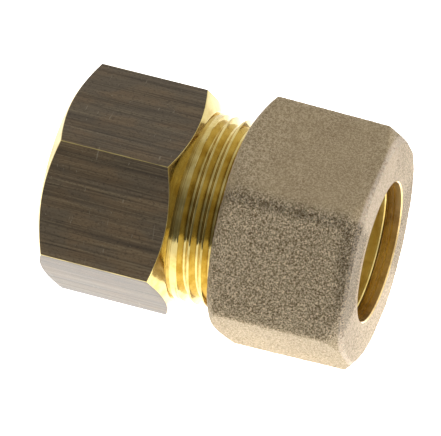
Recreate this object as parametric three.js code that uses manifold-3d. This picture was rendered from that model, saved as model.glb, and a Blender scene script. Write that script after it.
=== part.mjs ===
// A straight brass compression fitting for 22 mm pipe: a female pipe thread in a hexagonal body at one
// end, and a compression nut that squeezes a cutting ring onto the pipe at the other.
// Three separate pieces: the body, the cutting ring and the nut. All are in millimetres.
// The pipe axis is +X, from the female thread to the nut. +Z is up, and the nut lies on one of its flats.
// The origin is on the axis, half way along the assembled fitting.
import * as THREE from "three";
import { mergeVertices } from "three/addons/utils/BufferGeometryUtils.js";
import Module from "manifold-3d";

const wasm = await Module();
wasm.setup();

// --- Driving dimensions -----------------------------------------------------------------------------

const OVERALL_LENGTH = 50.8;
const PIPE_RADIUS = 11; // 22 mm outside diameter
const FLOW_RADIUS = 9.5; // the bore that the water runs through
const COLUMNS = 36; // sides of every turned surface
const OVERCUT = 1; // how far a cutting shape runs past the face that it opens, or into the next piece
const CLEAR = 0.1; // keeps surfaces that would fall on each other apart

const HEX_CHAMFER_ANGLE = THREE.MathUtils.degToRad(30);
// A chamfer circle's diameter, as a share of the width across flats. Near 1, only the corners are cut.
const CHAMFER_CIRCLE = 0.95;
const OUTER_CHAMFER_CIRCLE = 0.985; // at the nut's outer face

const BODY = {
  flats: 32,
  turn: THREE.MathUtils.degToRad(-3.4), // how far its flats are turned from the nut's
  hexLength: 21.1,
  spigotLength: 17.2, // from the hexagon to the coned mouth
  runOutLength: 1.7, // the last of the thread, where its groove gets shallow
};

const NUT = {
  length: 22.6,
  flats: 36, // at the threaded end
  draft: THREE.MathUtils.degToRad(0.9), // the forging narrows towards its outer face
  landLength: 2.3, // of the pipe bore at the outer face
  boreRadius: PIPE_RADIUS + 0.1,
  boreBevel: 0.3,
  threadLength: 13.5,
  reliefRadius: 15.2,
  reliefLength: 1,
  entryBevel: 0.6, // the entry is this much wider than the spigot's crest
  coneRadius: 14.2, // the wide end of the 90 degree cone that pushes the ring
};

const RING = {
  length: 9.6,
  boreRadius: PIPE_RADIUS + 0.05,
  shoulderRadius: 13.3,
  rearRadius: 11.2,
  noseRadius: 11.6,
  shoulderLength: 3.2,
  shoulderStep: 0.3,
  recess: 0.4, // of the bore behind the cutting edge
  recessLength: 1.2,
  rearBevel: 0.08,
  seatGap: 0.2, // along the axis, to the nut's cone
};

const MOUTH = {
  depth: 7.5, // from the mouth to the pipe stop
  radius: 12.15,
  coneAngle: THREE.MathUtils.degToRad(12), // half of the 24 degree cone
};

// Metric M30 x 2 on the spigot. Radii are the crest's, the root's and the pitch circle's. A crest crosses
// the line straight above the axis at crestAt.
const SPIGOT_THREAD = {
  pitch: 2,
  crestAt: -1.32,
  crest: 14.9,
  root: 13.7,
  pitchRadius: 14.35,
  flankAngle: THREE.MathUtils.degToRad(30),
};
const THREAD_CLEARANCE = 0.14; // between the nut's flanks and the spigot's
const NUT_THREAD_MINOR = 13.95;

// Parallel pipe thread, nominal size three quarters of an inch, in the other end of the body.
const PIPE_THREAD = {
  pitch: 1.814,
  crestAt: 0,
  crest: 13.22,
  root: 12.06,
  pitchRadius: 12.64,
  flankAngle: THREE.MathUtils.degToRad(27.5),
  length: 14.5,
  reliefLength: 1.6,
  reliefRadius: 13.5,
  reliefStep: 0.3, // along the axis, from the relief to the drill's point
  mouthBevel: 0.5,
  drillAngle: THREE.MathUtils.degToRad(59), // half of the drill's point
};

// --- Places along the axis --------------------------------------------------------------------------

const BODY_REAR = -OVERALL_LENGTH / 2;
const HEX_FRONT = BODY_REAR + BODY.hexLength;
const MOUTH_FACE = HEX_FRONT + BODY.spigotLength;
const NUT_OUTER_FACE = OVERALL_LENGTH / 2;
const NUT_REAR = NUT_OUTER_FACE - NUT.length;
const NUT_CONE_TIP = NUT_OUTER_FACE - NUT.landLength;
const RING_REAR = NUT_CONE_TIP - (RING.rearRadius - NUT.boreRadius) - RING.seatGap;

// --- Helpers ----------------------------------------------------------------------------------------

// A closed geometry as a manifold-3d solid.
function toSolid(geometry) {
  const bare = new THREE.BufferGeometry().setAttribute("position", geometry.getAttribute("position"));
  if (geometry.index) bare.setIndex(geometry.index);
  const merged = mergeVertices(bare, 1e-4);
  return new wasm.Manifold(
    new wasm.Mesh({
      numProp: 3,
      vertProperties: merged.getAttribute("position").array,
      triVerts: new Uint32Array(merged.index.array),
    }),
  );
}

function toGeometry(solid) {
  const mesh = solid.getMesh();
  const geometry = new THREE.BufferGeometry();
  geometry.setAttribute("position", new THREE.BufferAttribute(mesh.vertProperties, 3));
  geometry.setIndex(new THREE.BufferAttribute(mesh.triVerts, 1));
  geometry.computeVertexNormals();
  return geometry;
}

// A solid turned about the X axis. The profile is a list of [x, radius], with x going up, and the ends
// are closed to the axis.
function turned(profile) {
  const [first, last] = [profile[0], profile[profile.length - 1]];
  const closed = [[first[0], 0], ...profile, [last[0], 0]];
  const points = closed.map(([x, radius]) => new THREE.Vector2(radius, x));
  return toSolid(new THREE.LatheGeometry(points, COLUMNS).rotateZ(-Math.PI / 2));
}

// A hexagonal bar along X from start to end, with a flat on top before it is turned. It may narrow.
function hexBar({ start, end, startFlats, endFlats, turn = 0 }) {
  const cornerRadius = (flats) => flats / 2 / Math.cos(Math.PI / 6);
  const [startRadius, endRadius] = [cornerRadius(startFlats), cornerRadius(endFlats)];
  const firstCorner = Math.PI / 6 + turn;
  const bar = new THREE.CylinderGeometry(endRadius, startRadius, end - start, 6, 1, false, firstCorner);
  return toSolid(bar.rotateZ(-Math.PI / 2).translate((start + end) / 2, 0, 0));
}

// The turned outline that gives a hexagonal bar its 30 degree chamfers.
function chamferOutline({ start, end, startFlats, endFlats, endCircle = CHAMFER_CIRCLE }) {
  const [startRadius, endRadius] = [(startFlats / 2) * CHAMFER_CIRCLE, (endFlats / 2) * endCircle];
  const outside = startFlats;
  const depth = (radius) => (outside - radius) * Math.tan(HEX_CHAMFER_ANGLE);
  return turned([
    [start, startRadius],
    [start + depth(startRadius), outside],
    [end - depth(endRadius), outside],
    [end, endRadius],
  ]);
}

// A right-hand screw thread as a solid rod along X, wider by the clearance than the thread given.
// The ridge has a flat crest and straight flanks. Each column of points follows the ridge round, so that
// after one turn it is one pitch further on. The two ends are helical, and are cut off afterwards.
function threadedRod({ pitch, crestAt, crest, root, pitchRadius, flankAngle }, from, to, clearance = 0) {
  const widthAt = (radius) =>
    pitch / 4 + clearance / Math.cos(flankAngle) - (radius - pitchRadius) * Math.tan(flankAngle);
  const ridge = [
    [-widthAt(root), root],
    [-widthAt(crest), crest],
    [widthAt(crest), crest],
    [widthAt(root), root],
  ];
  const firstTurn = Math.floor((from - crestAt) / pitch) - 2;
  const lastTurn = Math.ceil((to - crestAt) / pitch) + 1;
  const rows = [];
  for (let turn = firstTurn; turn <= lastTurn; turn++) {
    rows.push(...ridge.map(([x, radius]) => [x + crestAt + turn * pitch, radius]));
  }
  const rowsPerTurn = ridge.length;
  const lastRow = rows.length - 1;
  const positions = [];
  const point = (column, row) => {
    const angle = (column / COLUMNS) * 2 * Math.PI;
    const [x, radius] = rows[row];
    return [x + (column / COLUMNS) * pitch, -radius * Math.sin(angle), radius * Math.cos(angle)];
  };
  const onAxis = (x) => [x, 0, 0];
  const triangle = (a, b, c) => positions.push(...a, ...b, ...c);
  for (let column = 0; column < COLUMNS; column++) {
    for (let row = 0; row < lastRow; row++) {
      const [a, b] = [point(column, row), point(column, row + 1)];
      const [c, d] = [point(column + 1, row + 1), point(column + 1, row)];
      triangle(a, d, c);
      triangle(a, c, b);
    }
    triangle(onAxis(rows[0][0]), point(column + 1, 0), point(column, 0));
    triangle(onAxis(rows[lastRow][0]), point(column, lastRow), point(column + 1, lastRow));
  }
  for (let row = 0; row < rowsPerTurn; row++) {
    triangle(onAxis(rows[0][0]), point(0, row), point(0, row + 1));
    triangle(onAxis(rows[lastRow][0]), point(COLUMNS, lastRow - row), point(COLUMNS, lastRow - row - 1));
  }
  const rod = new THREE.BufferGeometry();
  rod.setAttribute("position", new THREE.Float32BufferAttribute(positions, 3));
  return toSolid(rod);
}

function named(name, solid, material) {
  const mesh = new THREE.Mesh(toGeometry(solid), material);
  mesh.name = name;
  return mesh;
}

// --- The body ---------------------------------------------------------------------------------------

// The threaded spigot, bevelled at its mouth. Its core widens to the full width next to the hexagon,
// where the thread runs out.
function bodySpigot() {
  const { crest, root } = SPIGOT_THREAD;
  const bevel = crest - root + 2 * CLEAR;
  const outline = turned([
    [HEX_FRONT - OVERCUT, crest + CLEAR],
    [MOUTH_FACE - bevel, crest + CLEAR],
    [MOUTH_FACE, crest - bevel],
  ]);
  const core = turned([
    [HEX_FRONT - OVERCUT, crest - CLEAR],
    [HEX_FRONT, crest - CLEAR],
    [HEX_FRONT + BODY.runOutLength, root - CLEAR],
    [MOUTH_FACE - bevel, root - CLEAR],
  ]);
  return threadedRod(SPIGOT_THREAD, HEX_FRONT, MOUTH_FACE).intersect(outline).add(core);
}

// From the pipe thread's relief to the coned mouth: the flow bore, the pipe stop and the 24 degree cone.
function bodyBore() {
  const { length, reliefLength, reliefRadius, reliefStep, drillAngle } = PIPE_THREAD;
  const reliefStart = BODY_REAR + length;
  const reliefEnd = reliefStart + reliefLength;
  const drillStart = reliefEnd + reliefStep;
  const drillDepth = (PIPE_THREAD.root - FLOW_RADIUS) / Math.tan(drillAngle);
  const stop = MOUTH_FACE - MOUTH.depth;
  const socketRadius = PIPE_RADIUS + CLEAR / 2;
  const coneLength = (MOUTH.radius - socketRadius) / Math.tan(MOUTH.coneAngle);
  return turned([
    [reliefStart, reliefRadius],
    [reliefEnd, reliefRadius],
    [drillStart, PIPE_THREAD.root],
    [drillStart + drillDepth, FLOW_RADIUS],
    [stop, FLOW_RADIUS],
    [stop, socketRadius],
    [MOUTH_FACE - coneLength, socketRadius],
    [MOUTH_FACE, MOUTH.radius],
    [MOUTH_FACE + OVERCUT, MOUTH.radius],
  ]);
}

// The female pipe thread, with a bevelled mouth.
function pipeTap() {
  const { crest, root, length, reliefLength, mouthBevel } = PIPE_THREAD;
  const reliefMiddle = BODY_REAR + length + reliefLength / 2;
  const stretch = turned([
    [BODY_REAR - OVERCUT, crest + OVERCUT],
    [reliefMiddle, crest + OVERCUT],
  ]);
  const hole = turned([
    [BODY_REAR - OVERCUT, crest + mouthBevel + OVERCUT],
    [BODY_REAR + crest + mouthBevel - root, root],
    [reliefMiddle, root],
  ]);
  const deeper = { ...PIPE_THREAD, root: root - CLEAR }; // so that the hole cuts the crests flat
  return threadedRod(deeper, BODY_REAR, reliefMiddle).intersect(stretch).add(hole);
}

function fittingBody() {
  const hex = { start: BODY_REAR, end: HEX_FRONT, startFlats: BODY.flats, endFlats: BODY.flats };
  return hexBar({ ...hex, turn: BODY.turn })
    .intersect(chamferOutline(hex))
    .add(bodySpigot())
    .subtract(bodyBore())
    .subtract(pipeTap());
}

// --- The cutting ring -------------------------------------------------------------------------------

// A tapered nose with a sharp inner edge that bites the pipe, a shoulder, and a 45 degree back.
function cuttingRing() {
  const front = RING_REAR - RING.length;
  const backLength = RING.shoulderRadius - RING.rearRadius;
  const shoulderFront = RING_REAR - backLength - RING.shoulderLength;
  const noseLength = shoulderFront - front;
  const taperTop = RING.noseRadius + noseLength * Math.tan(MOUTH.coneAngle);
  const shape = turned([
    [front, RING.noseRadius],
    [shoulderFront, taperTop],
    [shoulderFront + RING.shoulderStep, RING.shoulderRadius],
    [RING_REAR - backLength, RING.shoulderRadius],
    [RING_REAR, RING.rearRadius],
  ]);
  const { boreRadius, recess, recessLength, rearBevel } = RING;
  const bore = turned([
    [front - OVERCUT, boreRadius + recess],
    [front + recessLength, boreRadius + recess],
    [front + recessLength, boreRadius],
    [RING_REAR - rearBevel, boreRadius],
    [RING_REAR, boreRadius + rearBevel],
    [RING_REAR + OVERCUT, boreRadius + rearBevel],
  ]);
  return shape.subtract(bore);
}

// --- The nut ----------------------------------------------------------------------------------------

// From the threaded end to the outer face: the thread's minor bore, a relief, the cone and the pipe bore.
function nutBore() {
  const { boreRadius, boreBevel, coneRadius, threadLength, reliefRadius, reliefLength, entryBevel } = NUT;
  const coneStart = NUT_CONE_TIP - (coneRadius - boreRadius);
  const threadEnd = NUT_REAR + threadLength;
  const entryRadius = SPIGOT_THREAD.crest + entryBevel;
  return turned([
    [NUT_REAR - OVERCUT, entryRadius + OVERCUT],
    [NUT_REAR + entryRadius - NUT_THREAD_MINOR, NUT_THREAD_MINOR],
    [threadEnd, NUT_THREAD_MINOR],
    [threadEnd, reliefRadius],
    [threadEnd + reliefLength, reliefRadius],
    [coneStart, coneRadius],
    [NUT_CONE_TIP, boreRadius],
    [NUT_OUTER_FACE - boreBevel, boreRadius],
    [NUT_OUTER_FACE + OVERCUT, boreRadius + boreBevel + OVERCUT],
  ]);
}

// The groove of the nut's own thread, wider than the spigot's ridge by the clearance.
function nutTap() {
  const { crest } = SPIGOT_THREAD;
  const reliefMiddle = NUT_REAR + NUT.threadLength + NUT.reliefLength / 2;
  const stretch = turned([
    [NUT_REAR - OVERCUT, crest + OVERCUT],
    [reliefMiddle, crest + OVERCUT],
  ]);
  const wider = { ...SPIGOT_THREAD, crest: crest + 2 * CLEAR, root: NUT_THREAD_MINOR - CLEAR };
  return threadedRod(wider, NUT_REAR, reliefMiddle, THREAD_CLEARANCE).intersect(stretch);
}

function compressionNut() {
  const endFlats = NUT.flats - 2 * NUT.length * Math.tan(NUT.draft);
  const ends = { start: NUT_REAR, end: NUT_OUTER_FACE, startFlats: NUT.flats, endFlats };
  const hex = { ...ends, endCircle: OUTER_CHAMFER_CIRCLE };
  return hexBar(hex).intersect(chamferOutline(hex)).subtract(nutBore()).subtract(nutTap());
}

// --- Assembly ---------------------------------------------------------------------------------------

const barBrass = new THREE.MeshStandardMaterial({ color: 0x6b5d4c, roughness: 0.45, metalness: 0.9 });
const machinedBrass = new THREE.MeshStandardMaterial({ color: 0xd0a83c, roughness: 0.25, metalness: 1 });
const forgedBrass = new THREE.MeshStandardMaterial({ color: 0x9a8768, roughness: 0.75, metalness: 0.8 });

const fitting = new THREE.Group();
fitting.name = "compression_fitting";
fitting.add(named("fitting_body", fittingBody(), barBrass));
fitting.add(named("cutting_ring", cuttingRing(), machinedBrass));
fitting.add(named("compression_nut", compressionNut(), forgedBrass));

export default fitting;
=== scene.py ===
import math

import bmesh
import bpy
from mathutils import Matrix, Vector


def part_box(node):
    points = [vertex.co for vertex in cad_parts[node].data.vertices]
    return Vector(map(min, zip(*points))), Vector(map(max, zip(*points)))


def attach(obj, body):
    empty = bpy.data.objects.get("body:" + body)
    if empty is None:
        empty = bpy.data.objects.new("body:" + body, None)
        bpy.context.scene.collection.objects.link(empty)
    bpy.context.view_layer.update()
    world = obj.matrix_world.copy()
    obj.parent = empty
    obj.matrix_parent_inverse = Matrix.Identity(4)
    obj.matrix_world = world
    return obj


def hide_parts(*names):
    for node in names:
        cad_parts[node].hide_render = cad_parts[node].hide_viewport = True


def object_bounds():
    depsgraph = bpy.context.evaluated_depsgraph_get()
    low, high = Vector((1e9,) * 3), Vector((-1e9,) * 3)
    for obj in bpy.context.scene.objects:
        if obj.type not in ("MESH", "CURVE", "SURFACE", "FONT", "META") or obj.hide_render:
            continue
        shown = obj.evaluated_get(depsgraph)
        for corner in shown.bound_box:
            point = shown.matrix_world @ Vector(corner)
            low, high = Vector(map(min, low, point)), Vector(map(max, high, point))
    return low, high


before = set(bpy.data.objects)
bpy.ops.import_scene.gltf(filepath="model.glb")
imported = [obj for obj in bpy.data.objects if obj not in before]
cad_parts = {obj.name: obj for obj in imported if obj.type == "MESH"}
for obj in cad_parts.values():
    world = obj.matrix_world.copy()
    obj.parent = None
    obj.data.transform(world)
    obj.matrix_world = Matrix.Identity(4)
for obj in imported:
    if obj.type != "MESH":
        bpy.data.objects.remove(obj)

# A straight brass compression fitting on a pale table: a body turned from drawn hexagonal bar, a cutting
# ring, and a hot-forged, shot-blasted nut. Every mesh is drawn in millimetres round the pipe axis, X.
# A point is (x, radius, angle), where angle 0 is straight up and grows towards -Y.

MM = 0.001
TURN = 2 * math.pi
cad_low, cad_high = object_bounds()


def in_mm(box):
    return [corner / MM for corner in box]


# --- Sizes, in millimetres ----------------------------------------------------------------------------

body_low, body_high = in_mm(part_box("fitting_body"))
nut_low, nut_high = in_mm(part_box("compression_nut"))
ring_low, ring_high = in_mm(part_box("cutting_ring"))

SECTOR = TURN / 6  # what one flat of a hexagon takes of the turn
CHAMFER_SLOPE = math.tan(math.radians(30))
SEAL_SLOPE = math.tan(math.radians(12))  # the side of the 24 degree cone that seals
SHARP = math.radians(38)  # an edge that turns more than this stays sharp
TURNED_COLUMNS = 144  # round a turned surface

HEX = {
    "rear": body_low.x,
    "front": body_low.x + 21.1,
    "flats": 32.0,
    "turn": math.radians(-3.4),
    "edge": 0.22,
    "chamfer_circle": 15.2,
    "rounding": 0.12,
    "rear_rounding": 0.15,
    "rear_inner": 14.02,
    "front_inner": 15.0,
}
SPIGOT = {
    "mouth": body_high.x,
    "mouth_edge": 13.5,
    "mouth_radius": 12.15,
    "neck": 14.45,
    "neck_length": 0.3,
}
BORE = {
    "socket": 11.05,
    "stop": body_high.x - 7.5,
    "flow": 9.5,
    "relief": 13.5,
    "relief_length": 1.6,
    "relief_step": 0.3,
    "taper_length": 1.6,
}
NUT = {
    "rear": nut_low.x,
    "front": nut_high.x,
    "flats": 36.0,
    "draft": math.tan(math.radians(0.9)),
    "edge": 1.1,
    "rear_circle": 17.1,
    "rear_bend": 0.5,
    "outer_circle": 17.6,
    "outer_bend": 0.35,
    "entry": 15.5,
    "bore": 11.1,
    "bore_edge": 11.3,
    "cone_tip": nut_high.x - 2.3,
    "cone": 14.2,
    "thread_gap": 0.2,
    "relief": 15.2,
    "relief_length": 1.0,
}
RING = {
    "front": ring_low.x,
    "rear": ring_high.x,
    "bore": 11.05,
    "bore_edge": 0.2,
    "recess": 0.4,
    "recess_length": 1.2,
    "nose": 11.6,
    "step": 0.3,
    "shoulder": 13.3,
    "shoulder_start": ring_high.x - 5.3,
    "back": 11.3,
}
THREAD_CREST = HEX["front"] + 2.98  # where a crest crosses the line straight above the axis

SPIGOT_THREAD = {
    "Start": HEX["front"] + 0.5,
    "End": SPIGOT["mouth"],
    "Pitch": 2.0,
    "Crest At": THREAD_CREST,
    "Ridge Radius": 14.93,
    "Groove Radius": 13.72,
    "Pitch Radius": 14.32,
    "Flank Slope": 1.75,
    "Rounding": 0.07,
    "Start Radius": 14.9,
    "Start Length": 0.75,
    "Start Slope": 1.75,
    "End Radius": SPIGOT["mouth_edge"],
    "End Slope": 1.0,
    "Rows Per Turn": 24,
}
NUT_THREAD = {
    "Start": NUT["rear"],
    "End": NUT["rear"] + 13.5,
    "Pitch": 2.0,
    "Crest At": THREAD_CREST,
    "Ridge Radius": 15.1,
    "Groove Radius": 13.97,
    "Pitch Radius": 14.63,
    "Flank Slope": 1.75,
    "Rounding": 0.05,
    "Start Radius": NUT["entry"],
    "Start Slope": 1.0,
    "End Radius": NUT["relief"],
    "End Slope": 2.0,
    "Inside": True,
    "Rows Per Turn": 14,
}
PIPE_THREAD = {
    "Start": HEX["rear"],
    "End": HEX["rear"] + 14.5,
    "Pitch": 1.814,
    "Crest At": 0.0,
    "Ridge Radius": 13.22,
    "Groove Radius": 12.07,
    "Pitch Radius": 12.64,
    "Flank Slope": 1.92,
    "Rounding": 0.12,
    "Start Radius": 13.72,
    "Start Slope": 1.0,
    "End Radius": BORE["relief"],
    "End Slope": 2.0,
    "Inside": True,
    "Rows Per Turn": 14,
}
LENGTHS = {"Start", "End", "Pitch", "Crest At", "Ridge Radius", "Groove Radius", "Pitch Radius"}
LENGTHS |= {"Rounding", "Start Radius", "Start Length", "End Radius"}


# --- Node trees -----------------------------------------------------------------------------------------

def node(tree, kind, inputs=None, **settings):
    """A node with its settings, and with its inputs linked or set, by name or by number."""
    made = tree.nodes.new(kind)
    for name, value in settings.items():
        setattr(made, name, value)
    for name, value in (inputs or {}).items():
        socket = made.inputs[name]
        if isinstance(value, bpy.types.NodeSocket):
            tree.links.new(value, socket)
        else:
            socket.default_value = value
    return made


def calc(tree, operation, *values):
    return node(tree, "ShaderNodeMath", dict(enumerate(values)), operation=operation).outputs[0]


def times(tree, value, *factors):
    for factor in factors:
        value = calc(tree, "MULTIPLY", value, factor)
    return value


def geometry_tree(name, spec):
    """A geometry node tree with a Geometry input and output, and the named inputs of spec."""
    tree = bpy.data.node_groups.new(name, "GeometryNodeTree")
    for title, kind in [("Geometry", "NodeSocketGeometry"), *spec]:
        tree.interface.new_socket(name=title, in_out="INPUT", socket_type=kind)
    tree.interface.new_socket(name="Geometry", in_out="OUTPUT", socket_type="NodeSocketGeometry")
    return tree, tree.nodes.new("NodeGroupInput").outputs


def finish_tree(tree, geometry, material, selection=True):
    """Ends a tree with real geometry that carries its material."""
    real = node(tree, "GeometryNodeRealizeInstances", {"Geometry": geometry})
    painted = node(tree, "GeometryNodeSetMaterial",
                   {"Geometry": real.outputs[0], "Selection": selection, "Material": material})
    node(tree, "NodeGroupOutput", {"Geometry": painted.outputs[0]})


def made_by(tree, mesh, values):
    """The plain mesh that a tree makes of a mesh, with the tree's inputs set by name."""
    holder = bpy.data.objects.new("holder", mesh)
    bpy.context.scene.collection.objects.link(holder)
    modifier = holder.modifiers.new("shape", "NODES")
    modifier.node_group = tree
    for item in tree.interface.items_tree:
        if item.in_out == "INPUT" and item.name in values:
            modifier[item.identifier] = values[item.name]
    bpy.context.view_layer.update()
    evaluated = holder.evaluated_get(bpy.context.evaluated_depsgraph_get())
    result = bpy.data.meshes.new_from_object(evaluated)
    bpy.data.objects.remove(holder)
    return result


# --- The screw thread -----------------------------------------------------------------------------------

def thread_tree():
    """A sleeve with a right-hand screw thread. Its rows follow the helix and stop at the two ends."""
    numbers = ["Start", "End", "Pitch", "Crest At", "Ridge Radius", "Groove Radius", "Pitch Radius",
               "Flank Slope", "Rounding", "Start Radius", "Start Length", "Start Slope", "End Radius",
               "End Slope"]
    spec = [(name, "NodeSocketFloat") for name in numbers]
    spec += [("Inside", "NodeSocketBool"), ("Columns", "NodeSocketInt"), ("Rows Per Turn", "NodeSocketInt"),
             ("Material", "NodeSocketMaterial")]
    tree, given = geometry_tree("screw_thread", spec)
    start, end, pitch = given["Start"], given["End"], given["Pitch"]

    step = calc(tree, "DIVIDE", pitch, given["Rows Per Turn"])
    before = calc(tree, "SUBTRACT", calc(tree, "SUBTRACT", start, pitch), given["Crest At"])
    first = calc(tree, "ADD", given["Crest At"], calc(tree, "SNAP", before, step))
    span = calc(tree, "ADD", calc(tree, "SUBTRACT", end, first), step)
    rows = calc(tree, "CEIL", calc(tree, "DIVIDE", span, step))
    sheet = node(tree, "GeometryNodeMeshGrid", {
        "Size X": 1.0, "Size Y": 1.0,
        "Vertices X": calc(tree, "ADD", given["Columns"], 1.0),
        "Vertices Y": calc(tree, "ADD", rows, 1.0),
    })
    at = node(tree, "ShaderNodeSeparateXYZ", {0: node(tree, "GeometryNodeInputPosition").outputs[0]})
    share = calc(tree, "ADD", at.outputs["X"], 0.5)
    row = times(tree, calc(tree, "ADD", at.outputs["Y"], 0.5), rows)
    helix = times(tree, share, pitch)
    along = calc(tree, "MULTIPLY_ADD", row, step, calc(tree, "ADD", first, helix))
    x = calc(tree, "MAXIMUM", start, calc(tree, "MINIMUM", along, end))

    from_crest = calc(tree, "SUBTRACT", calc(tree, "SUBTRACT", x, given["Crest At"]), helix)
    half = times(tree, pitch, 0.5)
    away = calc(tree, "ABSOLUTE", calc(tree, "WRAP", from_crest, half, times(tree, half, -1.0)))
    towards_crest = calc(tree, "SUBTRACT", times(tree, pitch, 0.25), away)
    flank = calc(tree, "MULTIPLY_ADD", towards_crest, given["Flank Slope"], given["Pitch Radius"])
    floor = calc(tree, "SMOOTH_MAX", flank, given["Groove Radius"], given["Rounding"])
    ridge = calc(tree, "SMOOTH_MIN", floor, given["Ridge Radius"], given["Rounding"])

    past_collar = calc(tree, "SUBTRACT", x, calc(tree, "ADD", start, given["Start Length"]))
    into = calc(tree, "MAXIMUM", past_collar, 0.0)
    drop = times(tree, into, given["Start Slope"])
    start_cone = calc(tree, "SUBTRACT", given["Start Radius"], drop)
    short = times(tree, calc(tree, "SUBTRACT", end, x), given["End Slope"])
    begun = calc(tree, "MAXIMUM", ridge, start_cone)
    bevelled = calc(tree, "MINIMUM", begun, calc(tree, "ADD", given["End Radius"], short))
    relieved = calc(tree, "MAXIMUM", begun, calc(tree, "SUBTRACT", given["End Radius"], short))
    choice = {"Switch": given["Inside"], "False": bevelled, "True": relieved}
    radius = node(tree, "GeometryNodeSwitch", choice, input_type="FLOAT").outputs[0]

    angle = times(tree, share, TURN)
    aside = times(tree, radius, calc(tree, "SINE", angle), -1.0)
    up = times(tree, radius, calc(tree, "COSINE", angle))
    place = node(tree, "ShaderNodeCombineXYZ", {"X": x, "Y": aside, "Z": up})
    rolled = node(tree, "GeometryNodeSetPosition",
                  {"Geometry": sheet.outputs["Mesh"], "Position": place.outputs[0]})
    hair = 0.002 * MM
    sewn = node(tree, "GeometryNodeMergeByDistance", {"Geometry": rolled.outputs[0], "Distance": hair})
    finish_tree(tree, sewn.outputs[0], given["Material"])
    return tree


def threaded_sleeve(tree, sizes, material):
    values = {name: value * MM if name in LENGTHS else value for name, value in sizes.items()}
    values |= {"Columns": TURNED_COLUMNS, "Material": material}
    return made_by(tree, bpy.data.meshes.new("blank"), values)


# --- The forged skin ------------------------------------------------------------------------------------

def forged_skin_tree():
    """Sinks a fine mesh by three sizes of lump, where its skin attribute says."""
    spec = [(f"{size} {measure}", "NodeSocketFloat") for size in ("Wave", "Lump", "Grain")
            for measure in ("Size", "Depth")]
    tree, given = geometry_tree("forged_skin", [*spec, ("Seed", "NodeSocketInt"),
                                                ("Material", "NodeSocketMaterial")])
    depth = 0.0
    for size in ("Wave", "Lump", "Grain"):
        scale = calc(tree, "DIVIDE", 1.0, given[f"{size} Size"])
        lumps = node(tree, "ShaderNodeTexNoise", {"W": given["Seed"], "Scale": scale, "Detail": 1.0},
                     noise_dimensions="4D").outputs[0]
        depth = calc(tree, "MULTIPLY_ADD", lumps, given[f"{size} Depth"], depth)
    share = node(tree, "GeometryNodeInputNamedAttribute", {"Name": "skin"}, data_type="FLOAT").outputs[0]
    sunk = times(tree, depth, share, -1.0)
    inwards = node(tree, "ShaderNodeVectorMath", {0: node(tree, "GeometryNodeInputNormal").outputs[0],
                                                  "Scale": sunk}, operation="SCALE").outputs[0]
    moved = node(tree, "GeometryNodeSetPosition", {"Geometry": given["Geometry"], "Offset": inwards})
    skin_only = calc(tree, "GREATER_THAN", share, 0.0)
    finish_tree(tree, moved.outputs[0], given["Material"], skin_only)
    return tree


# --- Rings and skins ------------------------------------------------------------------------------------

def blank_mesh():
    """An empty mesh whose points can be marked as rubbed, or as forged skin."""
    mesh = bmesh.new()
    mesh.verts.layers.float.new("worn")
    mesh.verts.layers.float.new("skin")
    return mesh


def angle_of(vertex):
    tiny = 1e-6
    return (math.atan2(-vertex.co.y, vertex.co.z) + tiny) % TURN


def ring(mesh, points):
    """A ring of vertices at (x, radius, angle)."""
    return [mesh.verts.new(Vector((x, -r * math.sin(a), r * math.cos(a))) * MM) for x, r, a in points]


def turned_ring(mesh, x, radius):
    return ring(mesh, [(x, radius, TURN * k / TURNED_COLUMNS) for k in range(TURNED_COLUMNS)])


def join(mesh, one, other, finish):
    """Faces between two rings. Rings with different numbers of vertices are matched by angle."""
    faces = []
    if len(one) == len(other):
        for k in range(len(one)):
            faces.append((one[k - 1], one[k], other[k], other[k - 1]))
    else:
        one, other = sorted(one, key=angle_of), sorted(other, key=angle_of)
        i = j = 0
        while i < len(one) or j < len(other):
            a, b = one[i % len(one)], other[j % len(other)]
            next_a, next_b = one[(i + 1) % len(one)], other[(j + 1) % len(other)]
            turn_a = angle_of(next_a) + TURN * (i + 1 >= len(one))
            turn_b = angle_of(next_b) + TURN * (j + 1 >= len(other))
            if j == len(other) or (i < len(one) and turn_a <= turn_b):
                faces.append((a, next_a, b))
                i += 1
            else:
                faces.append((a, next_b, b))
                j += 1
    for corners in faces:
        mesh.faces.new(corners).material_index = finish


def loft(mesh, rings, finish):
    for one, other in zip(rings, rings[1:]):
        join(mesh, one, other, finish)


def add_sleeve(mesh, sleeve, finish):
    """Adds a threaded sleeve and returns its first and last rings."""
    known = set(mesh.verts)
    mesh.from_mesh(sleeve)
    edge = [v for v in mesh.verts if v not in known and v.is_boundary]
    middle = (min(v.co.x for v in edge) + max(v.co.x for v in edge)) / 2
    for face in mesh.faces:
        if face.verts[0] not in known:
            face.material_index = finish
    first = sorted([v for v in edge if v.co.x < middle], key=angle_of)
    last = sorted([v for v in edge if v.co.x > middle], key=angle_of)
    return first, last


def eased(start, corner, other_corner, stop, steps):
    """A smooth bend that leaves start towards one corner and reaches stop from the other."""
    shares = [k / steps for k in range(steps + 1)]
    return [start * (1 - t) ** 3 + corner * 3 * t * (1 - t) ** 2 + other_corner * 3 * t * t * (1 - t)
            + stop * t ** 3 for t in shares]


def straight(start, stop, steps, crowd=1.0):
    """The points between two ends, without the ends. A crowd above 1 packs them near the ends."""
    shares = [2 * k / steps - 1 for k in range(1, steps)]
    return [start.lerp(stop, (1 + math.copysign(abs(t) ** (1 / crowd), t)) / 2) for t in shares]


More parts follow.
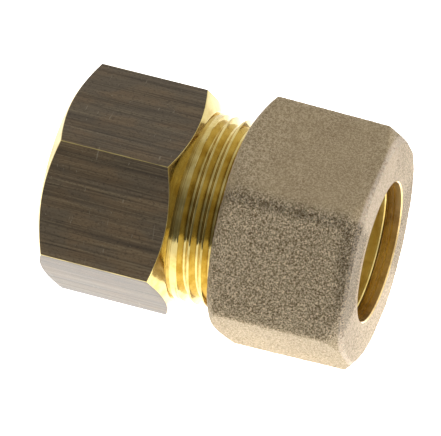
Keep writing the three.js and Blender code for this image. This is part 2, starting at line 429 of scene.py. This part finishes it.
def rounded_path(corners, fills, arc_steps=3):
    """Points along a path of (x, radius, rounding), with arcs at its corners. fills is how many steps each
    straight takes."""
    most = 0.45  # of a straight, so that the arcs at its two ends stay apart
    places = [Vector((x, r)) for x, r, _ in corners]
    arcs = [[places[0]]]
    for before, corner, after, (_, _, rounding) in zip(places, places[1:], places[2:], corners[1:]):
        if rounding == 0:
            arcs.append([corner])
            continue
        back, ahead = (before - corner), (after - corner)
        half_turn = (math.pi - back.angle(ahead)) / 2
        reach = min(rounding * math.tan(half_turn), most * back.length, most * ahead.length)
        start, stop = corner + back.normalized() * reach, corner + ahead.normalized() * reach
        steps = [k / arc_steps for k in range(arc_steps + 1)]
        arcs.append([start * (1 - t) ** 2 + corner * 2 * t * (1 - t) + stop * t * t for t in steps])
    arcs.append([places[-1]])
    points = list(arcs[0])
    for fill, before, arc in zip(fills, arcs, arcs[1:]):
        points += straight(before[-1], arc[0], fill, crowd=4.0) + arc
    return points


def from_middle(angle, turn):
    """The angle from the middle of a hexagon's nearest flat."""
    return (angle - turn + SECTOR / 2) % SECTOR - SECTOR / 2


def flat_end(flats, edge):
    """The angle from the middle of a flat to where the rounding of its long edge starts."""
    return math.atan((flats / 2 - edge) * math.tan(SECTOR / 2) / (flats / 2))


def hex_radius(angle, flats, edge, turn=0.0):
    """How far out a hexagon's outline is at an angle, with its long edges rounded."""
    from_flat = from_middle(angle, turn)
    if abs(from_flat) < flat_end(flats, edge):
        return flats / 2 / math.cos(from_flat)
    from_corner = SECTOR / 2 - abs(from_flat)
    centre = (flats / 2 - edge) / math.cos(SECTOR / 2)
    return centre * math.cos(from_corner) + math.sqrt(edge ** 2 - (centre * math.sin(from_corner)) ** 2)


def hex_columns(flats, edge, turn, flat_steps, arc_steps):
    """Angles round a hexagon, close together on its rounded long edges."""
    end = flat_end(flats, edge)
    angles = []
    for side in range(6):
        middle = turn + side * SECTOR
        angles += [middle + end * (2 * k / flat_steps - 1) for k in range(flat_steps)]
        angles += [middle + end + (SECTOR - 2 * end) * k / arc_steps for k in range(arc_steps)]
    return sorted(a % TURN for a in angles)


def hex_skin(mesh, angles, path_at, finish_at, worn_at, skin_at):
    """A skin over a hexagon. path_at(angle) is a column's points, and finish_at(row) is a row's finish. At
    a point and an angle, worn_at is how much an edge is rubbed and skin_at is how rough the forging is."""
    worn, skin = mesh.verts.layers.float["worn"], mesh.verts.layers.float["skin"]
    columns = [path_at(a) for a in angles]
    rows = []
    for points in zip(*columns):
        rows.append(ring(mesh, [(p.x, p.y, a) for p, a in zip(points, angles)]))
        for vertex, point, angle in zip(rows[-1], points, angles):
            vertex[worn] = worn_at(point, angle)
            vertex[skin] = skin_at(point, angle)
    for vertex in rows[0] + rows[-1]:
        vertex[skin] = 0.0
    for k, (one, other) in enumerate(zip(rows, rows[1:])):
        join(mesh, one, other, finish_at(k))
    return rows[0], rows[-1]


def from_long_edge(angle, flats, turn=0.0):
    """How far a point on a hexagon is from its nearest long edge."""
    return flats / 2 * (math.tan(SECTOR / 2) - math.tan(abs(from_middle(angle, turn))))


def fade(distance, reach):
    """1 at no distance, and 0 from reach on."""
    return max(0.0, 1.0 - max(distance, 0.0) / reach)


def closed_mesh(name, mesh, materials):
    """Turns a bmesh into a mesh with its faces pointing out."""
    bmesh.ops.recalc_face_normals(mesh, faces=mesh.faces[:])
    if sum(face.calc_center_median().dot(face.normal) * face.calc_area() for face in mesh.faces) < 0:
        bmesh.ops.reverse_faces(mesh, faces=mesh.faces[:])
    data = bpy.data.meshes.new(name)
    mesh.to_mesh(data)
    mesh.free()
    for material in materials:
        data.materials.append(material)
    return data


def add_piece(name, data, body, node_name):
    """Adds a piece that rides on its body and stands for a CAD node."""
    data.set_sharp_from_angle(angle=SHARP)
    piece = bpy.data.objects.new(name, data)
    bpy.context.scene.collection.objects.link(piece)
    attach(piece, body)
    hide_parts(node_name)


# --- Materials ------------------------------------------------------------------------------------------

def shader_of(name, metallic, roughness, **settings):
    """A new material, its node tree and its main shader. Even values are set on the shader's sockets."""
    material = bpy.data.materials.new(name)
    material.use_nodes = True
    shader = material.node_tree.nodes["Principled BSDF"]
    shader.inputs["Metallic"].default_value = metallic
    shader.inputs["Roughness"].default_value = roughness
    for socket, value in settings.items():
        shader.inputs[socket.replace("_", " ")].default_value = value
    return material, material.node_tree, shader


def place_in_mm(tree, stretch=(1.0, 1.0, 1.0)):
    """The place on the piece in millimetres. A stretch of 20 makes a pattern 20 times longer that way."""
    here = node(tree, "ShaderNodeTexCoord").outputs["Object"]
    scale = [1 / (MM * s) for s in stretch]
    return node(tree, "ShaderNodeMapping", {"Vector": here, "Scale": scale}).outputs[0]


def lathe_place(tree):
    """Distance along the axis and distance from it, in millimetres: the same all the way round."""
    at = node(tree, "ShaderNodeSeparateXYZ", {0: place_in_mm(tree)})
    across = node(tree, "ShaderNodeCombineXYZ", {"X": at.outputs["Y"], "Y": at.outputs["Z"]}).outputs[0]
    radius = node(tree, "ShaderNodeVectorMath", {0: across}, operation="LENGTH").outputs["Value"]
    return node(tree, "ShaderNodeCombineXYZ", {"X": at.outputs["X"], "Y": radius}).outputs[0]


def noise(tree, place, size, detail, roughness=0.5, distortion=0.0):
    """Soft noise from 0 to 1, whose blotches are about size millimetres across."""
    inputs = {"Vector": place, "Scale": 1 / size, "Detail": detail, "Roughness": roughness,
              "Distortion": distortion}
    return node(tree, "ShaderNodeTexNoise", inputs).outputs["Fac"]


def between(tree, value, low, high, start=0.0, stop=1.0):
    """A smooth step from start to stop, as value goes from low to high."""
    limits = {"Value": value, "From Min": low, "From Max": high, "To Min": start, "To Max": stop}
    return node(tree, "ShaderNodeMapRange", limits, interpolation_type="SMOOTHSTEP").outputs[0]


def blend(tree, share, colour, other):
    """A mix of two colours, each a colour or a socket."""
    mix = tree.nodes.new("ShaderNodeMix")
    mix.data_type = "RGBA"
    slots = {s.identifier: s for s in mix.inputs}
    for key, value in (("Factor_Float", share), ("A_Color", colour), ("B_Color", other)):
        if isinstance(value, bpy.types.NodeSocket):
            tree.links.new(value, slots[key])
        else:
            slots[key].default_value = value if key == "Factor_Float" else (*value, 1)
    return next(s for s in mix.outputs if s.identifier == "Result_Color")


def laid_over(tree, colour, over, pattern, low, high, share=1.0):
    """A colour with another over it: none where the pattern is low, and share of it from high on."""
    return blend(tree, between(tree, pattern, low, high, 0.0, share), colour, over)


def raised(tree, height, depth, before=None, strength=1.0):
    """A bump of a height from 0 to 1, depth millimetres deep, on top of the bump before it."""
    inputs = {"Height": height, "Distance": depth * MM, "Strength": strength}
    if before:
        inputs["Normal"] = before
    return node(tree, "ShaderNodeBump", inputs).outputs[0]


def marked(tree, name):
    """What the points of the mesh are marked with under a name."""
    return node(tree, "ShaderNodeAttribute", attribute_name=name).outputs["Fac"]


BRASS = (0.64, 0.51, 0.2)  # clean and machined


def oxidised_bar():
    """Drawn bar: dark oxide with lengthwise streaks, small scratches, and brass rubbed bare on the edges."""
    oxide_metallic = 0.1
    material, tree, shader = shader_of("oxidised_bar", oxide_metallic, 0.4, Specular_IOR_Level=0.12,
                                       Sheen_Weight=0.6, Sheen_Roughness=0.3)

    def drawn(stretch, size, detail, roughness=0.5):
        """Noise whose blotches are stretched along the bar."""
        return noise(tree, place_in_mm(tree, (stretch, 1, 1)), size, detail, roughness)

    patches = drawn(2.5, size=3.2, detail=3, roughness=0.6)
    bands = drawn(45, size=1.6, detail=2)
    streaks = drawn(60, size=0.5, detail=4, roughness=0.7)
    lines = drawn(90, size=0.15, detail=2)
    mottle = drawn(1.6, size=0.26, detail=2, roughness=0.6)
    grey, brown, dark = (0.15, 0.116, 0.076), (0.182, 0.127, 0.073), (0.05, 0.037, 0.026)
    line_colour, scratch_colour = (0.26, 0.205, 0.12), (0.33, 0.28, 0.2)
    colour = laid_over(tree, grey, brown, patches, 0.4, 0.62)
    colour = laid_over(tree, colour, dark, bands, 0.45, 0.7, share=0.45)
    colour = laid_over(tree, colour, dark, streaks, 0.44, 0.68, share=0.65)
    colour = laid_over(tree, colour, line_colour, lines, 0.48, 0.76, share=0.6)
    colour = laid_over(tree, colour, dark, mottle, 0.5, 0.72, share=0.6)

    scratch_share = 0.55
    specks = noise(tree, place_in_mm(tree), 0.3, detail=1)
    nicks = noise(tree, place_in_mm(tree, (0.7, 6, 6)), 1 / 2.4, detail=1, distortion=0.6)
    scratch = calc(tree, "MAXIMUM", between(tree, specks, 0.74, 0.78), between(tree, nicks, 0.735, 0.77))
    colour = blend(tree, times(tree, scratch, scratch_share), colour, scratch_colour)

    ragged = drawn(4, size=0.8, detail=3, roughness=0.7)
    bare = between(tree, calc(tree, "SUBTRACT", marked(tree, "worn"), ragged), 0.0, 0.35)
    metallic = between(tree, bare, 0.0, 1.0, start=oxide_metallic)
    tree.links.new(blend(tree, bare, colour, BRASS), shader.inputs["Base Color"])
    tree.links.new(metallic, shader.inputs["Metallic"])
    tree.links.new(between(tree, streaks, 0.3, 0.7, start=0.36, stop=0.5), shader.inputs["Roughness"])
    bump = raised(tree, lines, depth=0.004)
    bump = raised(tree, streaks, depth=0.006, before=bump)
    tree.links.new(raised(tree, scratch, depth=0.004, before=bump), shader.inputs["Normal"])
    return material


def turned_brass(name, clean, tarnished, bright, roughness):
    """Machined brass, with the fine rings that a lathe tool leaves."""
    material, tree, shader = shader_of(name, metallic=1.0, roughness=roughness)
    rings = noise(tree, lathe_place(tree), 0.11, detail=2, roughness=0.6)
    broad = noise(tree, lathe_place(tree), 0.7, detail=1)
    tarnish = noise(tree, place_in_mm(tree), 2.4, detail=4, roughness=0.6)
    colour = laid_over(tree, clean, tarnished, tarnish, 0.4, 0.66)
    colour = laid_over(tree, colour, bright, rings, 0.55, 0.8, share=0.3)
    tree.links.new(colour, shader.inputs["Base Color"])
    gloss = between(tree, broad, 0.35, 0.65, start=roughness * 0.75, stop=roughness * 1.4)
    tree.links.new(gloss, shader.inputs["Roughness"])
    bump = raised(tree, rings, depth=0.0016)
    tree.links.new(raised(tree, tarnish, depth=0.006, before=bump), shader.inputs["Normal"])
    return material


def blasted_brass():
    """Forged and shot-blasted: a rough grain of small hollows with painted shade in them and painted
    highlights on the grain tops, paler and pinker where the edges are rubbed.
    """
    material, tree, shader = shader_of("blasted_brass", 0.55, 0.6, Specular_IOR_Level=0.2,
                                       Specular_Tint=(0.52, 0.56, 0.66, 1))
    here = place_in_mm(tree)
    rough = marked(tree, "skin")
    clouds = noise(tree, here, 4.5, detail=3, roughness=0.6)
    ragged = noise(tree, here, 0.5, detail=4, roughness=0.7)
    lumps = noise(tree, here, 0.3, detail=3, roughness=0.7, distortion=0.4)
    fine = noise(tree, here, 0.13, detail=2, roughness=0.6)
    grain = calc(tree, "MULTIPLY_ADD", calc(tree, "SUBTRACT", fine, 0.5), 0.7, lumps)
    pale, brown = (0.44, 0.34, 0.2), (0.39, 0.295, 0.17)
    pink, bright = (0.6, 0.46, 0.34), (0.78, 0.69, 0.56)
    # A painted highlight colour for the grain tops, then a painted shade colour for the grain hollows that
    # the grime bands also use.
    painted_glint_colour, pit_shade_and_grime_colour = (0.98, 0.82, 0.58), (0.12, 0.07, 0.028)
    most, most_grime = 0.9, 0.7

    colour = laid_over(tree, pale, brown, clouds, 0.35, 0.68)
    worn = calc(tree, "SUBTRACT", times(tree, marked(tree, "worn"), 1.5), ragged)
    bare = times(tree, between(tree, worn, 0.0, 0.5), most)
    colour = blend(tree, bare, colour, laid_over(tree, pink, bright, ragged, 0.4, 0.62))
    # Painted highlight: the tops of the grain get a pale glint colour, as if they catch the light.
    painted_glints = times(tree, between(tree, grain, 0.46, 0.6), rough, most)
    colour = blend(tree, painted_glints, colour, painted_glint_colour)
    # Painted shade: the hollows of the grain are darkened as if shaded. The grime bands below use the same
    # dark colour as real dirt.
    painted_pit_shade = times(tree, between(tree, grain, 0.43, 0.32), rough, most)
    colour = blend(tree, painted_pit_shade, colour, pit_shade_and_grime_colour)
    grime = times(tree, between(tree, rough, 1.0, 1.5), between(tree, ragged, 0.44, 0.56), most_grime)
    colour = blend(tree, grime, colour, pit_shade_and_grime_colour)
    tree.links.new(colour, shader.inputs["Base Color"])
    tree.links.new(between(tree, grain, 0.3, 0.7, start=0.7, stop=0.5), shader.inputs["Roughness"])
    bump = raised(tree, grain, depth=0.8, strength=rough)
    tree.links.new(raised(tree, fine, depth=0.04, before=bump), shader.inputs["Normal"])
    return material


# --- The pieces -----------------------------------------------------------------------------------------

def make_body(tree, bar, brass):
    """The body: bare bar on its flats, and machined everywhere else."""
    mesh = blank_mesh()
    outside, machined = 0, 1
    spigot_first, spigot_last = add_sleeve(mesh, threaded_sleeve(tree, SPIGOT_THREAD, brass), machined)
    pipe_first, pipe_last = add_sleeve(mesh, threaded_sleeve(tree, PIPE_THREAD, brass), machined)

    circle, rear, front, rounding = HEX["chamfer_circle"], HEX["rear"], HEX["front"], HEX["rounding"]
    fills, arc_steps = [2, 3, 5, 3, 1], 3

    def path_at(angle):
        radius = hex_radius(angle, HEX["flats"], HEX["edge"], HEX["turn"])
        chamfer = (radius - circle) * CHAMFER_SLOPE
        corners = [(rear, HEX["rear_inner"], 0), (rear, circle, HEX["rear_rounding"]),
                   (rear + chamfer, radius, rounding), (front - chamfer, radius, rounding),
                   (front, circle, rounding), (front, HEX["front_inner"], 0)]
        return rounded_path(corners, fills, arc_steps)

    first_flat_row = fills[0] + fills[1] + 2 * arc_steps - 1
    last_flat_row = first_flat_row + fills[2] + 1

    def finish_at(row):
        return outside if first_flat_row <= row <= last_flat_row else machined

    def worn_at(point, angle):
        rubbed_width = 0.2
        return fade(from_long_edge(angle, HEX["flats"], HEX["turn"]), rubbed_width)

    angles = hex_columns(HEX["flats"], HEX["edge"], HEX["turn"], flat_steps=16, arc_steps=4)
    skin_first, skin_last = hex_skin(mesh, angles, path_at, finish_at, worn_at, lambda point, angle: 0.0)
    join(mesh, pipe_first, skin_first, machined)
    neck = [turned_ring(mesh, x, SPIGOT["neck"]) for x in (front, front + SPIGOT["neck_length"])]
    loft(mesh, [skin_last, *neck, spigot_first], machined)

    mouth, stop = SPIGOT["mouth"], BORE["stop"]
    cone_end = mouth - (SPIGOT["mouth_radius"] - BORE["socket"]) / SEAL_SLOPE
    relief_end = PIPE_THREAD["End"] + BORE["relief_length"]
    taper_start = relief_end + BORE["relief_step"]
    bore = [(mouth, SPIGOT["mouth_radius"]), (cone_end, BORE["socket"]), (stop, BORE["socket"]),
            (stop, BORE["flow"]), (taper_start + BORE["taper_length"], BORE["flow"]),
            (taper_start, PIPE_THREAD["Groove Radius"]), (relief_end, BORE["relief"])]
    rings = [turned_ring(mesh, x, r) for x, r in bore]
    loft(mesh, [spigot_last, *rings, pipe_last], machined)
    data = closed_mesh("hex_body", mesh, [bar, brass])
    add_piece("hex_body", data, "body", "fitting_body")


def make_ring(satin, polished):
    """The cutting ring. Its rear inner edge has a small polished bevel."""
    mesh = bmesh.new()
    dull, bright = 0, 1
    front, rear, bore, shoulder = RING["front"], RING["rear"], RING["bore"], RING["shoulder"]
    bore_edge, recess_end = RING["bore_edge"], front + RING["recess_length"]
    recess, start = bore + RING["recess"], RING["shoulder_start"]
    taper = RING["nose"] + (start - front) * SEAL_SLOPE
    corners = [(rear - bore_edge, bore, 0), (recess_end, bore, 0), (recess_end, recess, 0),
               (front, recess, 0), (front, RING["nose"], 0.1), (start, taper, 0.2),
               (start + RING["step"], shoulder, 0.2), (rear - (shoulder - RING["back"]), shoulder, 0.3),
               (rear, RING["back"], 0), (rear, bore + bore_edge, 0)]
    points = rounded_path(corners, fills=[4, 1, 1, 1, 4, 1, 4, 3, 1])
    rings = [turned_ring(mesh, p.x, p.y) for p in points]
    loft(mesh, rings, dull)
    join(mesh, rings[-1], rings[0], bright)
    data = closed_mesh("olive_ring", mesh, [satin, polished])
    add_piece("olive_ring", data, "ring", "cutting_ring")


def nut_path(angle):
    """The nut's outside at an angle: rear face, chamfer, flat, chamfer and outer face."""
    rear, front, rear_circle = NUT["rear"], NUT["front"], NUT["rear_circle"]
    rear_bend, outer_bend = NUT["rear_bend"], NUT["outer_bend"]
    least_drop, dish = 0.3, 0.05  # from the flat to the rim, and from the rim to the outer face
    rear_reach, outer_reach = 0.4, 0.2  # how far the bends run on to the two end faces
    rear_gap, outer_gap = 0.2, 0.15  # what the skin leaves free round the two mouths

    def radius_at(x):
        return hex_radius(angle, NUT["flats"] - 2 * (x - rear) * NUT["draft"], NUT["edge"])

    def on_flat(x):
        return Vector((x, radius_at(x)))

    rear_x = rear + (radius_at(rear) - rear_circle) * CHAMFER_SLOPE
    rim = min(NUT["outer_circle"], radius_at(front) - least_drop)
    front_x = front - outer_bend - (radius_at(front) - rim) * CHAMFER_SLOPE
    flat_start, flat_stop = on_flat(rear_x + rear_bend), on_flat(front_x - outer_bend)
    rear_face, rear_rim = Vector((rear, rear_circle - rear_reach)), Vector((rear, rear_circle))
    outer_rim, outer_face = Vector((front - dish, rim)), Vector((front, rim - outer_reach))
    rear_curve = eased(rear_face, rear_rim, on_flat(rear_x), flat_start, steps=8)
    outer_curve = eased(flat_stop, on_flat(front_x), outer_rim, outer_face, steps=10)
    rear_mouth = Vector((rear, NUT["entry"] + rear_gap))
    outer_mouth = Vector((front, NUT["bore_edge"] + outer_gap))
    return [rear_mouth, *straight(rear_mouth, rear_face, steps=3), *rear_curve,
            *straight(flat_start, flat_stop, steps=84), *outer_curve,
            *straight(outer_face, outer_mouth, steps=16), outer_mouth]


def on_outer_face(point):
    hair = 0.01
    return point.x > NUT["front"] - hair


def nut_wear(point, angle):
    """How much the nut is rubbed: a little along its long edges, more at its two ends, and half over its
    outer face."""
    long_edge = 0.3 * fade(from_long_edge(angle, NUT["flats"]) - 0.3, reach=0.8)
    outer_end = 0.5 if on_outer_face(point) else fade(NUT["front"] - point.x, reach=1.4)
    rear_end = 0.7 * fade(point.x - NUT["rear"], reach=0.8)
    return max(long_edge, outer_end, rear_end)


def nut_roughness(point, angle):
    """How rough the die left the nut: each flat differently, starting with the top one and going round by
    the front, with a gradual change across a long edge. The top flat is rougher near its rear lower corner,
    and the front one has a band of grime below its upper edge and another near its outer end."""
    flats = [0.3, 1.0, 0.6, 0.55, 0.9, 0.65]
    top, front = 0, 1
    extra, band, band_width = 0.45, 0.6, 1.6
    turn = (angle * 6 / TURN + 0.5) % 6
    side, share = int(turn), turn % 1
    other = flats[(side + (1 if share > 0.5 else -1)) % 6]
    edge = from_long_edge(angle, NUT["flats"])
    blur = 0.5 * fade(edge, reach=1.6)
    rough = flats[side] * (1 - blur) + other * blur
    if on_outer_face(point):
        return rough * (1 - fade(point.y - NUT["bore_edge"], reach=0.8))
    if side == top:
        rough += extra * fade(point.x - NUT["rear"], reach=8.0) * share
    if side == front:
        below_top = fade(abs(edge - 0.9), band_width) if share < 0.5 else 0.0
        near_end = fade(abs(NUT["front"] - 1.4 - point.x), band_width) * (1 - share)
        rough += band * max(below_top, near_end) * (1 - blur)
    return rough


def make_nut(tree, skin_tree, forged, dull):
    """The nut: a forged skin outside, and machined inside."""
    mesh = blank_mesh()
    outside, machined = 0, 1
    thread_first, thread_last = add_sleeve(mesh, threaded_sleeve(tree, NUT_THREAD, dull), machined)
    angles = hex_columns(NUT["flats"], NUT["edge"], 0.0, flat_steps=80, arc_steps=6)
    skin_first, skin_last = hex_skin(mesh, angles, nut_path, lambda row: outside, nut_wear, nut_roughness)
    join(mesh, thread_first, skin_first, outside)
    front, tip, bore, cone = NUT["front"], NUT["cone_tip"], NUT["bore"], NUT["cone"]
    bevel = NUT["bore_edge"] - bore
    thread_end = NUT_THREAD["End"]
    corners = [(front, NUT["bore_edge"], 0), (front - bevel, bore, 0), (tip, bore, 0.08),
               (tip - (cone - bore), cone, 0.5), (thread_end + NUT["relief_length"], NUT["relief"], 0.3),
               (thread_end + NUT["thread_gap"], NUT["relief"], 0)]
    rings = [turned_ring(mesh, p.x, p.y) for p in rounded_path(corners, fills=[1, 3, 3, 3, 1])]
    join(mesh, skin_last, rings[0], outside)
    loft(mesh, [*rings, thread_last], machined)
    data = made_by(skin_tree, closed_mesh("forged_nut", mesh, [forged, dull]), {
        "Wave Size": 6 * MM, "Wave Depth": 0.12 * MM, "Lump Size": 1.5 * MM, "Lump Depth": 0.07 * MM,
        "Grain Size": 0.55 * MM, "Grain Depth": 0.2 * MM, "Seed": 7, "Material": forged,
    })
    add_piece("forged_nut", data, "nut", "compression_nut")


# --- The stage ------------------------------------------------------------------------------------------

def make_floor():
    """A white table that glows, most of all round the fitting, so that it lights the fitting from below."""
    reach, z = 3.0, cad_low.z  # in metres
    near, far, near_glow, far_glow = 10.0, 110.0, 2.4, 0.9
    data = bpy.data.meshes.new("table_top")
    corners = [(-reach, -reach, z), (reach, -reach, z), (reach, reach, z), (-reach, reach, z)]
    data.from_pydata(corners, [], [(0, 1, 2, 3)])
    material, tree, shader = shader_of("pale_table", 0.0, 1.0, Base_Color=(0.6, 0.6, 0.6, 1),
                                       Emission_Color=(1, 1, 1, 1))
    away = node(tree, "ShaderNodeVectorMath", {0: place_in_mm(tree)}, operation="LENGTH").outputs["Value"]
    glow = between(tree, away, near, far, near_glow, far_glow)
    tree.links.new(glow, shader.inputs["Emission Strength"])
    data.materials.append(material)
    floor = bpy.data.objects.new("table_top", data)
    bpy.context.scene.collection.objects.link(floor)


def make_lights():
    """Soft light all round: dim low down in front of the fitting, and brighter overhead, at the ends and
    behind. Seen directly, it is plain white."""
    world = bpy.data.worlds.new("studio")
    bpy.context.scene.world = world
    world.use_nodes = True
    tree = world.node_tree
    background = tree.nodes["Background"]
    background.inputs["Color"].default_value = (1, 1, 1, 1)
    direction = node(tree, "ShaderNodeTexCoord").outputs["Generated"]
    x, y, z = node(tree, "ShaderNodeSeparateXYZ", {0: direction}).outputs
    height = calc(tree, "DIVIDE", calc(tree, "ARCTAN2", z, times(tree, y, -1.0)), math.pi)
    ramp = node(tree, "ShaderNodeValToRGB", {"Fac": height})
    brightest, end_light, end_focus = 3.0, 0.9, 4.0
    # The light at each height: 0 is the horizon in front, 0.5 is overhead and 1 is the horizon behind.
    steps = [(0.0, 0.13), (0.14, 0.14), (0.2, 0.22), (0.27, 0.15), (0.35, 0.32), (0.46, 0.55),
             (0.51, 0.44), (0.72, 0.7), (0.84, 1.0), (1.0, 1.3)]
    stops = ramp.color_ramp.elements
    for place, light in steps[1:-1]:
        stops.new(place)
    for stop, (place, light) in zip(stops, steps):
        stop.position = place
        stop.color = (*[light / brightest] * 3, 1)
    around = times(tree, ramp.outputs["Color"], brightest)
    ends = times(tree, calc(tree, "POWER", calc(tree, "ABSOLUTE", x), end_focus), end_light)
    seen = node(tree, "ShaderNodeLightPath").outputs["Is Camera Ray"]
    light = calc(tree, "MAXIMUM", calc(tree, "ADD", around, ends), seen)
    tree.links.new(light, background.inputs["Strength"])


def make_camera():
    """A long lens, well away, so that parallel edges stay almost parallel."""
    distance = 800 * MM
    tilt, swing, elevation = math.radians(12.91), math.radians(14.28), math.radians(49.2)
    chamfer_start = HEX["front"] - 1.84
    aim_right, aim_down = 5.2, 2.31  # how far from the axis the middle of the view is
    side = Vector((0, -math.cos(elevation), math.sin(elevation)))
    above = Vector((0, math.sin(elevation), math.cos(elevation)))
    along = Vector((1, 0, 0))
    towards = along * math.sin(tilt) + side * math.cos(tilt)
    level = along * math.cos(tilt) - side * math.sin(tilt)
    right = level * math.cos(swing) + above * math.sin(swing)
    up = above * math.cos(swing) - level * math.sin(swing)
    data = bpy.data.cameras.new("camera")
    camera = bpy.data.objects.new("camera", data)
    bpy.context.scene.collection.objects.link(camera)
    data.sensor_width, data.lens = 36.0, 420.5
    data.clip_start, data.clip_end = 0.01, 10
    aim = (along * chamfer_start + right * aim_right - up * aim_down) * MM
    camera.matrix_world = Matrix((right, up, towards)).transposed().to_4x4()
    camera.location = aim + towards * distance
    bpy.context.scene.camera = camera
    bpy.context.scene.view_settings.view_transform = "Standard"


def main():
    bar, forged = oxidised_bar(), blasted_brass()
    brass = turned_brass("turned_brass", clean=BRASS, tarnished=(0.52, 0.38, 0.11),
                         bright=(0.75, 0.62, 0.34), roughness=0.12)
    dull = turned_brass("dull_brass", clean=(0.76, 0.57, 0.27), tarnished=(0.52, 0.36, 0.16),
                        bright=(0.9, 0.72, 0.42), roughness=0.24)
    satin = turned_brass("satin_brass", clean=(0.85, 0.68, 0.22), tarnished=(0.7, 0.52, 0.14),
                         bright=(0.95, 0.8, 0.4), roughness=0.4)
    tree = thread_tree()
    make_camera()
    make_body(tree, bar, brass)
    make_ring(satin, brass)
    make_nut(tree, forged_skin_tree(), forged, dull)
    make_floor()
    make_lights()


main()
